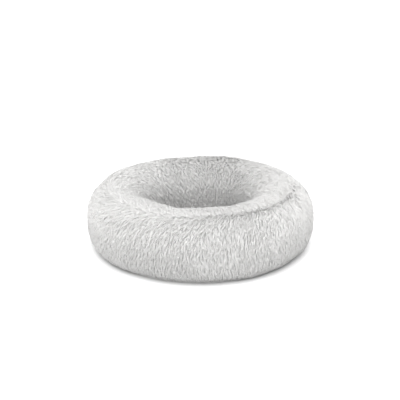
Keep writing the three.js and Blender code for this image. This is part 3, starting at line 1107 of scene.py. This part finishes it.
@dataclass
class PilePanel:
    """One cut panel of pile cloth: the ground that pile grows on, and the cloth itself.

    The waves are a height, turns round the bed, a phase, and turns along the run. The hem is the last of
    the run, where the pile gets shorter. The tuck is the radius that the panel's ends are drawn in to.
    """

    name: str
    rows: np.ndarray
    bearings: np.ndarray
    facing: float
    reach: float = 0.0205
    rise: float = 0.0070
    crinkle: float = 1.0
    swirl: float = 0.35
    gather: float = 0.62
    sweep: float = 0.0
    sweep_fade: float = 0.045
    crest: float = 0.12
    crest_width: float = 0.012
    smooth: float = 0.010
    settle: float = 0.080
    strands: float = 185000.0
    row_step: float = 0.006
    knit_top: float = 0.0004
    thickness: float = 0.003
    groove: float = 0.0002
    groove_width: float = 0.007
    ring: bool = False
    even_nap: bool = False
    even_way: Point = (0.25, -0.97, 0.0)
    hem_run: float = 0.0
    hem_reach: float = 0.014
    hem_worn: float = 0.72
    hem_lowest: float = 0.0008
    lowest: float = 0.0008
    lowest_span: float = math.radians(2.5)
    tuck: float = 0.0
    tuck_span: float = math.radians(8)
    tuck_from: float = 0.037
    tuck_over: float = 0.012
    full: float = 0.0032
    full_at: float = 0.87
    full_span: float = 0.5
    waves: tuple[tuple[float, ...], ...] = ((0.0011, 5, 1.3, 0), (0.0009, 9, 2.1, 16), (0.0006, 17, 0, -25))
    calm_radius: float = 0.06
    lap: float = 0.01
    run: np.ndarray = field(init=False)

    def __post_init__(self) -> None:
        """Spaces the rows evenly and notes how far each is from the parting."""
        self.rows = evened(self.rows, self.row_step)
        self.run = run_along(self.rows)

    @property
    def grid(self) -> tuple[int, int]:
        """How many bearings and rows there are."""
        return len(self.bearings), len(self.run)

    def tangents(self) -> np.ndarray:
        """The direction away from the parting, at each row."""
        lines = np.gradient(self.rows, axis=0)
        return lines / np.linalg.norm(lines, axis=1, keepdims=True)

    def normals(self) -> np.ndarray:
        """The outward direction at each row."""
        lines = self.tangents()
        return self.facing * np.stack((-lines[:, 1], lines[:, 0]), 1)

    def lift(self) -> np.ndarray:
        """How far the stuffing pushes each point out, and the seam draws it in.

        Returns:
            Lengths by bearing and row.
        """
        turn, run = self.bearings[:, None], self.run[None, :]
        soft = sum(size * np.sin(turns * turn + phase + slant * run)
                   for size, turns, phase, slant in self.waves)
        soft = soft * np.minimum(self.rows[:, 0] / self.calm_radius, 1.0)
        if not self.ring:
            off = np.angle(np.exp(1j * (turn - self.full_at)))
            soft = soft + self.full * np.exp(-((off / self.full_span) ** 2))
        return soft - self.groove * np.exp(-((run / self.groove_width) ** 2))

    def layer(self, depth: float = 0.0) -> np.ndarray:
        """The cloth's points at a depth below the ground.

        Args:
            depth: How far below.

        Returns:
            Points by bearing and row.
        """
        out = self.normals()
        lift = self.lift() - depth
        radius = self.rows[:, 0] + lift * out[:, 0] - self.drawn_in()
        height = self.rows[:, 1] + lift * out[:, 1]
        turn = self.bearings[:, None]
        return np.stack((radius * np.cos(turn), radius * np.sin(turn), height), 2)

    def from_ends(self) -> np.ndarray:
        """How far each bearing is from the nearer end of the panel."""
        return np.minimum(self.bearings - self.bearings[0], self.bearings[-1] - self.bearings)

    def drawn_in(self) -> np.ndarray:
        """How far in the panel's two ends are sewn to the zip tape.

        Returns:
            Lengths by bearing and row, nothing for a panel that has no tuck.
        """
        if not self.tuck:
            return np.zeros((1, 1))
        near_end = np.clip(1 - self.from_ends() / self.tuck_span, 0, 1) ** 1.5
        below_hem = np.clip((self.tuck_from - self.rows[:, 1]) / self.tuck_over, 0, 1)
        return near_end[:, None] * below_hem * np.maximum(self.rows[:, 0] - self.tuck, 0)

    def falls(self) -> np.ndarray:
        """How fast the ground drops away under a strand.

        Returns:
            The drop over the reach squared, at each row. The last rows take that of the row before them.
        """
        ahead = np.minimum(self.run + self.reach, self.run[-1])
        drop = -np.sum((resampled(self.rows, self.run, ahead) - self.rows) * self.normals(), 1)
        gone = np.maximum(ahead - self.run, 0.004)
        fall = np.maximum(drop / gone**2, 0.0)
        last = int(np.searchsorted(self.run, self.run[-1] - 0.6 * self.reach))
        fall[last:] = fall[last]
        return fall

    def spun(self, flat: np.ndarray) -> np.ndarray:
        """Turns (radius, height) directions to every bearing.

        Args:
            flat: A direction for each row.

        Returns:
            Directions by bearing and row.
        """
        turn = self.bearings[:, None]
        return np.stack((flat[:, 0] * np.cos(turn), flat[:, 0] * np.sin(turn),
                         np.broadcast_to(flat[:, 1], self.grid)), 2)

    def eased(self, start: float, span: float, low: float, gain: float) -> np.ndarray:
        """A number at each row that grows over a span of the run, and is 1 all over an even nap.

        Args:
            start: Where on the run it starts to grow.
            span: How far it goes on growing.
            low: The number before that.
            gain: How much it grows by.

        Returns:
            The numbers.
        """
        if self.even_nap:
            return np.ones(len(self.run))
        return low + gain * np.clip((self.run - start) / span, 0, 1)

    def clear_of_floor(self) -> np.ndarray:
        """The lowest that pile may hang, at each bearing: it falls to the floor beside the side seams."""
        share = np.clip(self.from_ends() / self.lowest_span, 0, 1)
        return self.lowest + (self.hem_lowest - self.lowest) * share

    def nap(self) -> dict[str, np.ndarray]:
        """The nap's way along the cloth and the way out of it.

        Returns:
            Directions by bearing and row, under their attributes' names.
        """
        nap, out = self.spun(self.tangents()), self.spun(self.normals())
        if self.even_nap:
            nap = np.broadcast_to(np.array(self.even_way), nap.shape)
            nap = nap - out * np.sum(nap * out, 2, keepdims=True)
        else:
            turn = self.sweep * np.exp(-self.run / self.sweep_fade)[None, :, None]
            nap = nap * np.cos(turn) + np.cross(out, nap) * np.sin(turn)
        return {"nap": nap, "out": out}

    def facts(self) -> dict[str, np.ndarray]:
        """What the pile needs to know at each point of the ground.

        It lies least along the parting, the crown is brushed smooth, and the hem's pile is short.

        Returns:
            Numbers under their attributes' names, each of which spreads over bearings and rows.
        """
        left = self.run[-1] - self.run
        near = np.clip(1 - left / self.hem_run, 0, 1) if self.hem_run else np.zeros(len(self.run))
        tall = 1 + self.crest * np.exp(-((self.run / self.crest_width) ** 2))
        return {"reach": self.reach + (self.hem_reach - self.reach) * near,
                "rise": self.rise * (1 - self.hem_worn * near) * tall,
                "bend": self.falls(),
                "lean": self.eased(0.0, 0.02, 0.45, 0.5),
                "clump": self.eased(self.smooth, self.settle, 0.45, 0.9),
                "lowest": self.clear_of_floor()[:, None]}

    def ground(self) -> bpy.types.Object:
        """The surface that pile grows on, with its nap as attributes.

        Returns:
            A helper object.
        """
        mesh = bpy.data.meshes.new(self.name + "_ground")
        mesh.from_pydata(self.layer().reshape(-1, 3).tolist(), [], grid_faces(*self.grid, 0, self.ring))
        for name, values in self.facts().items():
            full = np.broadcast_to(values, self.grid).astype(np.float32)
            mesh.attributes.new(name, "FLOAT", "POINT").data.foreach_set("value", full.ravel())
        for name, values in self.nap().items():
            full = np.ascontiguousarray(values, np.float32)
            mesh.attributes.new(name, "FLOAT_VECTOR", "POINT").data.foreach_set("vector", full.ravel())
        return new_object(self.name + "_ground", mesh)

    def cloth(self, finish: Finish) -> bpy.types.Object:
        """The cloth as a closed thin shell.

        Args:
            finish: Its surface.

        Returns:
            The object.
        """
        points = np.stack((self.layer(self.knit_top), self.layer(self.thickness)))
        return solid(self.name + "_cloth", points, shell_faces(*self.grid, self.ring), finish)

    def flat(self) -> tuple[float, float]:
        """The size that the panel was cut to.

        Returns:
            Its width over the section, and its mean length round the bed.
        """
        points = self.layer()
        ends = np.concatenate((points, points[:1])) if self.ring else points
        length = np.linalg.norm(np.diff(ends, axis=0), axis=2).sum(0)
        return float(self.run[-1]), float(np.average(length))

    def pile(self, maker: NapMaker, sectors: int, seed: int) -> list[bpy.types.Object]:
        """Grows the panel's pile, in sectors that share one set of locks.

        Args:
            maker: The nap's tree.
            sectors: How many pieces the pile is in.
            seed: The seed of its roots.

        Returns:
            The pile pieces.
        """
        ground = self.ground()
        start = float(self.bearings[0]) - self.lap
        turn = float(self.bearings[-1] - self.bearings[0]) + 2 * self.lap
        span = (math.tau if self.ring else turn) / sectors
        shared = {"Strands": self.strands, "Gather": self.gather, "Crinkle": self.crinkle,
                  "Swirl": self.swirl, "Span": span, "Seed": seed}
        made = [maker.run(ground, f"{self.name}_pile_{i + 1}", PILE, Start=start + i * span, **shared)
                for i in range(sectors)]
        discard(ground)
        return made


# ---------------------------------------------------------------- sub-assemblies


@dataclass
class PlushWalls:
    """The ring's outer and inner walls and the seat, in long pile cloth."""

    form: BedForm
    maker: NapMaker
    foot: float = 0.0131
    sole: tuple[float, float] = (0.0467, 0.0048)
    back_hem: float = 0.0296
    crossing: float = 0.0078
    well_hem: float = 0.028
    seat_radius: float = 0.139
    seat_drop: float = 0.0219
    seat_power: float = 4.0

    def panels(self) -> list[tuple[PilePanel, np.ndarray, int, int]]:
        """The five panels.

        The two piles start a little past each other at the parting, so that no ground shows there.

        Returns:
            Each panel, with the rows its pile grows on, how many pieces that is in, and its seed.
        """
        form = self.form
        sole = [(form.crown + self.sole[0], self.sole[1])]
        starts = (0, self.crossing)
        front, front_pile = (np.concatenate((form.outer_rows(self.foot, x), sole)) for x in starts)
        back, back_pile = (form.outer_rows(self.back_hem, x) for x in starts)
        inner, inner_pile = (form.inner_rows(self.well_hem, x) for x in starts)
        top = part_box("seat_panel")[1].z - form.pile_depth
        radius = np.linspace(0.0, self.seat_radius, 40)
        seat = np.stack((radius, top - self.seat_drop * (radius / self.seat_radius) ** self.seat_power), 1)
        well = {"reach": 0.018, "crinkle": 1.35, "gather": 0.68, "swirl": 0.45, "sweep": 0.35,
                "smooth": 0.045, "settle": 0.03}
        return [
            (PilePanel("outer_wall_front", front, arc(180, 360), 1.0, hem_run=0.04, hem_reach=0.011,
                       sweep=-1.15, tuck=0.2606), front_pile, 3, 11),
            (PilePanel("outer_wall_back", back, arc(0, 180), 1.0, hem_run=0.022, hem_reach=0.013,
                       hem_lowest=0.0245, sweep=-1.15), back_pile, 3, 12),
            (PilePanel("inner_wall_front", inner, arc(180, 360), -1.0, **well), inner_pile, 2, 13),
            (PilePanel("inner_wall_back", inner, arc(0, 180), -1.0, **well), inner_pile, 2, 14),
            (PilePanel("seat_panel", seat, arc(0, 360 - 3, 3), 1.0, ring=True, even_nap=True, crinkle=1.3,
                       reach=0.018, swirl=0.9, groove=0.0), seat, 1, 15),
        ]

    def build(self) -> None:
        """Makes each panel's cloth and pile and puts them on the cover."""
        for panel, rows, sectors, seed in self.panels():
            cloth = panel.cloth(GROUND)
            piles = replace(panel, rows=rows).pile(self.maker, sectors, seed)
            for pile in piles:
                place(pile, Body.COVER, Slot.PILE)
            place(cloth, Body.COVER, Slot.PILE, panel.name)
            width, length = panel.flat()


@dataclass
class Cushion:
    """An inner cushion: the stuffing blown up inside its liner by a short cloth simulation."""

    name: str
    filling: bpy.types.Object
    nodes: tuple[str, ...]
    fill: float
    swell: float = 0.003
    voxel: float = 0.007
    frames: int = 20
    pressure: float = 4.0
    tension: float = 20.0
    bending: float = 0.3
    sag: float = 0.0008

    def build(self) -> bpy.types.Object:
        """Makes the cushion from the frame's filling.

        Returns:
            The object.
        """
        mesh = self.filling.data.copy()
        mesh.name = self.name
        mesh.materials.clear()
        close_up(mesh, 1e-5)
        piece = new_object(self.name, mesh)
        mesh.materials.append(LINER.material())
        self.inflate(piece)
        smoothed(piece.data)
        place(piece, Body.COVER, Slot.LINER, *self.nodes)
        return piece

    def inflate(self, piece: bpy.types.Object) -> None:
        """Remeshes the cushion, blows it up, and keeps each point within the swell.

        Args:
            piece: The cushion, changed in place.
        """
        self.apply(piece, "REMESH", mode="VOXEL", voxel_size=self.voxel)
        before = self.points(piece)
        self.blow_up(piece)
        moved = self.points(piece) - before
        size = np.linalg.norm(moved, axis=1, keepdims=True)
        moved *= np.minimum(1.0, self.swell / np.maximum(size, 1e-9))
        result = before + moved
        result[:, 2] = np.maximum(result[:, 2], before[:, 2].min() - self.sag)
        piece.data.vertices.foreach_set("co", result.ravel())
        piece.data.update()
        self.apply(piece, "SUBSURF", levels=1, render_levels=1)

    def blow_up(self, piece: bpy.types.Object) -> None:
        """Runs the cloth with pressure inside it, and keeps its last frame.

        Args:
            piece: The cushion, changed in place.
        """
        cloth = piece.modifiers.new("blow_up", "CLOTH")
        cloth.settings.use_pressure = True
        cloth.settings.uniform_pressure_force = self.pressure
        cloth.settings.effector_weights.gravity = 0.0
        cloth.settings.quality = 4
        cloth.settings.tension_stiffness = self.tension
        cloth.settings.bending_stiffness = self.bending
        cloth.collision_settings.use_collision = False
        cloth.point_cache.frame_start, cloth.point_cache.frame_end = 1, self.frames
        for frame in range(1, self.frames + 1):
            bpy.context.scene.frame_set(frame)
        self.keep(piece, cloth)
        bpy.context.scene.frame_set(1)

    def points(self, piece: bpy.types.Object) -> np.ndarray:
        """The piece's points.

        Args:
            piece: The piece.

        Returns:
            A row for each point.
        """
        flat = np.zeros(len(piece.data.vertices) * 3)
        piece.data.vertices.foreach_get("co", flat)
        return flat.reshape(-1, 3)

    def keep(self, piece: bpy.types.Object, modifier: bpy.types.Modifier) -> None:
        """Makes a modifier's result the piece's own mesh.

        Args:
            piece: The piece, changed in place.
            modifier: The modifier, which goes.
        """
        mesh = evaluated(piece)
        piece.modifiers.remove(modifier)
        old, piece.data = piece.data, mesh
        name = old.name
        bpy.data.meshes.remove(old)
        mesh.name = name

    def apply(self, piece: bpy.types.Object, kind: str, **settings: Any) -> None:
        """Adds one modifier and keeps its result.

        Args:
            piece: The piece, changed in place.
            kind: The modifier's type.
            **settings: Its properties.
        """
        modifier = piece.modifiers.new(kind.lower(), kind)
        for name, value in settings.items():
            setattr(modifier, name, value)
        self.keep(piece, modifier)


@dataclass
class StitchRow:
    """A run of sewn stitches round the bed."""

    rows: RowMaker
    length: float = 0.0022
    gap: float = 0.0034
    thick: float = 0.00028
    unevenness: float = 0.00008
    swell: tuple[float, ...] = (0.45, 1.0, 1.1, 1.0, 0.45)
    sides: int = 4

    def bead(self) -> bpy.types.Object:
        """One stitch at the origin: a short thread, higher in its middle.

        Returns:
            A helper object.
        """
        steps = len(self.swell)
        points = np.array([[self.thick * (size * math.cos(a) - 0.5 * (2 * along) ** 2),
                            self.length * along, self.thick * size * math.sin(a)]
                           for along, size in zip(np.linspace(-0.5, 0.5, steps), self.swell)
                           for a in circle(self.sides)])
        return solid("stitch_bead", points, tube_faces(steps, self.sides), THREAD)

    def build(self, name: str, slot: Slot, radius: float, height: float, start: float,
              end: float) -> bpy.types.Object:
        """Sews one row.

        Args:
            name: The row's name.
            slot: The slot of the cloth it is on.
            radius: How far out it is.
            height: How high it is.
            start: Its first bearing, in degrees.
            end: Its last bearing, in degrees.

        Returns:
            The row.
        """
        bead = self.bead()
        span = math.radians(end - start)
        row = self.rows.run(bead, name, THREAD, Count=max(2, round(span * radius / self.gap)), Radius=radius,
                            Height=height, Start=math.radians(start), Span=span, Unevenness=self.unevenness)
        discard(bead)
        return place(row, Body.COVER, slot)


@dataclass
class Base:
    """The dotted base cloth, its front binding and the care label."""

    dots: DotMaker
    stitches: StitchRow
    lift: float = 0.0004
    bevel: tuple[float, float] = (0.0006, 0.0001)
    rim: float = 0.004
    dot_radius: float = 0.0021
    dot_sides: int = 8
    dot_margin: float = 0.009
    hem_margin: float = 0.005
    binding_thick: float = 0.0012
    binding_round: float = 0.00055
    label_size: tuple[float, float] = (0.018, 0.030)
    label_thick: float = 0.0004
    label_grid: tuple[int, int] = (15, 9)
    label_ease: float = 0.995

    def build(self) -> None:
        """Makes the base cloth, dots, binding and label."""
        self.cloth()
        self.binding()
        self.label()

    def cloth(self) -> None:
        """The base cloth, with its grip dots underneath."""
        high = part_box("base_cloth")[1]
        radius, top = high.x, high.z
        inset, chamfer = self.bevel
        under = [(0.0, self.lift), (radius * 0.5, self.lift), (radius - self.rim, self.lift),
                 (radius - inset, self.lift + chamfer)]
        over = [(radius - inset, top - chamfer), (radius - self.rim, top), (radius * 0.5, top), (0.0, top)]
        section = np.array([*under, (radius, (self.lift + top) / 2), *over])
        cloth = spin("base_sheet", section, arc(0, 357, 3), BASE, ring=True)
        place(cloth, Body.COVER, Slot.BASE, "base_cloth")
        bead = self.dot()
        dots = self.dots.run(bead, "grip_dots", GRIP, Radius=radius - self.dot_margin, Height=self.lift)
        discard(bead)
        place(dots, Body.COVER, Slot.BASE)
        hem = self.stitches.build("base_hem_stitches", Slot.BASE, radius - self.hem_margin, self.lift, 0, 359)

    def dot(self) -> bpy.types.Object:
        """One grip dot at the origin, domed downwards.

        Returns:
            A helper object.
        """
        rings = ((self.dot_radius, 0.0003), (self.dot_radius, -0.0001), (self.dot_radius * 0.6, -self.lift))
        points = np.array([(r * math.cos(a), r * math.sin(a), z) for r, z in rings
                           for a in circle(self.dot_sides)])
        return solid("grip_dot", points, tube_faces(len(rings), self.dot_sides), GRIP)

    def binding(self) -> None:
        """The tape that folds over the front edge of the base, with its stitches."""
        low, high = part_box("base_binding")
        outer = -low.y
        section = rounded((outer - self.binding_thick, low.z), (outer, high.z), self.binding_round)
        tape = spin("binding_tape", section, arc(180.1, 359.9), BINDING)
        place(tape, Body.COVER, Slot.TAPE, "base_binding")
        self.stitches.build("binding_stitches", Slot.TAPE, outer + 0.0001, low.z + 0.0026, 180.5, 359.5)

    def label(self) -> None:
        """A blank care label sewn to the base by its outer edge."""
        width, length = self.label_size
        low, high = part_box("care_label")
        middle = np.array(((low.x + high.x) / 2, (low.y + high.y) / 2))
        out = middle / math.hypot(*middle)
        across = np.array((-out[1], out[0]))
        steps, rows = (np.linspace(-0.5, 0.5, count) * self.label_ease for count in self.label_grid)
        points = np.array([(*(middle + out * i * length + across * j * width), level)
                           for level in (high.z, high.z - self.label_thick) for i in steps for j in rows])
        label = solid("blank_label", points, shell_faces(*self.label_grid), SATIN)
        place(label, Body.COVER, Slot.RIBBON, "care_label")


@dataclass
class Zip:
    """The coil zip round the back: two tapes, two rows of coil, stops, slider and pull."""

    rows: RowMaker
    stitches: StitchRow
    nodes: dict[str, bpy.types.Object]
    metal: tuple[str, ...] = ("zip_slider", "zip_pull", "zip_bottom_stop", "zip_top_stop_upper",
                              "zip_top_stop_lower")
    pitch: float = 0.0016
    ends: tuple[float, float] = (0.4, 179.6)
    tape_thick: float = 0.0007
    cord_half: float = 0.0008
    cord_width: float = 0.0012
    wire: float = 0.00042
    loop_steps: int = 8
    wire_sides: int = 4
    slant: float = 0.3

    def build(self) -> None:
        """Makes the tapes and coils and plates the metal."""
        for half in Half:
            self.tape(half)
            self.coil(half)
        for name in self.metal:
            self.plate(name)

    def plate(self, name: str) -> None:
        """Gives one of the frame's own metal parts its plating.

        Args:
            name: The part's node.
        """
        node = self.nodes[name]
        node.data.materials.clear()
        node.data.materials.append(METAL.material())
        LOG.info("%s: the frame's own part, plated", name)

    def tape(self, half: Half) -> None:
        """One zip tape, with a corded edge beside the coil and a sewn line.

        Args:
            half: Which side of the zip.
        """
        node = f"zip_tape_{half.value}"
        low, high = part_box(node)
        outer, inner = high.y, high.y - self.tape_thick
        edge, far, away, reach = ((low.z, high.z, 1, 0.0095) if half is Half.UPPER
                                  else (high.z, low.z, -1, 0.0085))
        round_by = self.tape_thick / 2
        cord = [(outer - round_by + round_by * math.cos(a),
                 edge + away * (self.cord_half - self.cord_half * math.sin(a)))
                for a in np.linspace(0, math.pi, 7)]
        beside = edge + away * self.cord_width
        section = np.array([*cord, (inner, beside), (inner, far), (outer, far), (outer, beside)])
        tape = spin(f"{node}_woven", section, arc(0.05, 179.95), TAPE)
        place(tape, Body.COVER, Slot.TAPE, node)
        self.stitches.build(f"{node}_stitches", Slot.TAPE, outer + 0.00012, edge + away * reach, 0.5, 179.5)

    def loop(self, deep: float, tall: float) -> bpy.types.Object:
        """One bent filament loop of the coil at the origin.

        Args:
            deep: Half its size outwards.
            tall: Half its height.

        Returns:
            A helper object.
        """
        points = []
        for turn in circle(self.loop_steps):
            x, z = (deep - self.wire) * math.cos(turn), (tall - self.wire) * math.sin(turn)
            y = self.slant * self.pitch * math.sin(turn)
            points += [(x + self.wire * math.cos(k) * math.cos(turn), y + self.wire * math.sin(k),
                        z + self.wire * math.cos(k) * math.sin(turn)) for k in circle(self.wire_sides)]
        return solid("coil_loop", np.array(points), tube_faces(self.loop_steps, self.wire_sides, True), COIL)

    def coil(self, half: Half) -> None:
        """One side of the coil, as a row of loops.

        Args:
            half: Which side of the zip.
        """
        node = f"zip_coil_{half.value}"
        low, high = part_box(node)
        inner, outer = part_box(f"zip_tape_{half.value}")[1].y + 0.0003, high.y
        middle = (inner + outer) / 2
        loop = self.loop((outer - inner) / 2, (high.z - low.z) / 2)
        start, end = (math.radians(x) for x in self.ends)
        step = self.pitch / middle
        span = end - start - step
        shift = 0.5 * step if half is Half.UPPER else 0.0
        row = self.rows.run(loop, f"{node}_loops", COIL, Count=round(span * middle / self.pitch),
                            Radius=middle, Height=(low.z + high.z) / 2, Start=start + shift, Span=span)
        discard(loop)
        place(row, Body.COVER, Slot.COIL, node)


@dataclass(frozen=True)
class Lamp:
    """A round area light that faces a point."""

    name: str
    spot: Point
    aim: Point
    size: float
    power: float

    def hang(self) -> None:
        """Makes the light and turns it."""
        light = bpy.data.lights.new(self.name, "AREA")
        light.shape, light.size, light.energy = "DISK", self.size, self.power
        made = bpy.data.objects.new(self.name, light)
        bpy.context.scene.collection.objects.link(made)
        x, y, z = np.array(self.spot) - np.array(self.aim)
        made.location = self.spot
        made.rotation_euler = (math.atan2(math.hypot(x, y), z), 0.0, math.atan2(x, -y))


@dataclass
class Studio:
    """The floor, the light and the camera. The band is the white one that closes the floor's far edge."""

    distance: float = 2.001
    height: float = 0.8295
    tilt: float = 19.79
    lens: float = 74.2
    sensor: float = 36.0
    shift: float = 0.0032
    horizon: float = 0.30
    zenith: float = 1.0
    band: tuple[float, float] = (0.05, 0.09)
    floor_radius: float = 30.0
    floor_sides: int = 64
    floor_height: float = -0.0001
    lamps: tuple[Lamp, ...] = (Lamp("overhead", (-0.2, -0.8, 2.7), (0.0, 0.0, 0.0), 3.4, 46.0),
                               Lamp("front_fill", (-0.3, -2.8, 1.8), (0.0, 0.0, 0.1), 1.8, 46.0))

    def build(self) -> None:
        """Sets the floor, the surround, the lights and the camera."""
        self.floor()
        self.surround()
        for lamp in self.lamps:
            lamp.hang()
        bpy.context.scene.view_settings.view_transform = "Standard"
        self.camera()

    def floor(self) -> None:
        """A wide pale floor."""
        mesh = bpy.data.meshes.new("floor")
        corners = [(self.floor_radius * math.cos(a), self.floor_radius * math.sin(a), self.floor_height)
                   for a in circle(self.floor_sides)]
        mesh.from_pydata(corners, [], [tuple(range(self.floor_sides))])
        mesh.materials.append(FLOOR.material())
        new_object("floor", mesh)

    def surround(self) -> None:
        """A white surround, brighter overhead and just above the floor's far edge."""
        world = bpy.data.worlds.new("studio_surround")
        world.use_nodes = True
        sky = world.node_tree.nodes["Background"]
        sky.inputs["Color"].default_value = (1.0, 1.0, 1.0, 1.0)
        graph = Graph(world.node_tree)
        up = graph.axes(graph.add("ShaderNodeTexCoord", out="Generated"))[2]
        dome = graph.between(up, 0.0, 0.8, self.horizon, self.zenith)
        band = graph.between(up, *self.band, 1.0, 0.0)
        graph.feed(sky, "Strength", graph.math("MAXIMUM", dome, band))
        bpy.context.scene.world = world

    def camera(self) -> None:
        """The camera, in front and a little above."""
        lens = bpy.data.cameras.new("camera")
        lens.lens, lens.sensor_width, lens.shift_y = self.lens, self.sensor, self.shift
        made = bpy.data.objects.new("camera", lens)
        made.location = (0.0, -self.distance, self.height)
        made.rotation_euler = (math.radians(90 - self.tilt), 0.0, 0.0)
        bpy.context.scene.collection.objects.link(made)
        bpy.context.scene.camera = made


def main() -> None:
    """Loads the frame and builds each sub-assembly over it."""
    logging.basicConfig(level=logging.INFO, format="%(name)s: %(message)s")
    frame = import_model()
    form = BedForm.from_frame()
    rows, dots, nap = RowMaker(), DotMaker(), NapMaker()
    stitches = StitchRow(rows)
    nodes = frame["nodes"]
    for name, fill in (("ring", 0.85), ("seat", 0.7)):
        filling = f"{name}_fill"
        Cushion(f"{name}_cushion", nodes[filling], (f"{name}_liner_upper", f"{name}_liner_lower", filling),
                fill).build()
    Base(dots, stitches).build()
    Zip(rows, stitches, nodes).build()
    PlushWalls(form, nap).build()
    Studio().build()


if __name__ == "__main__":
    main()
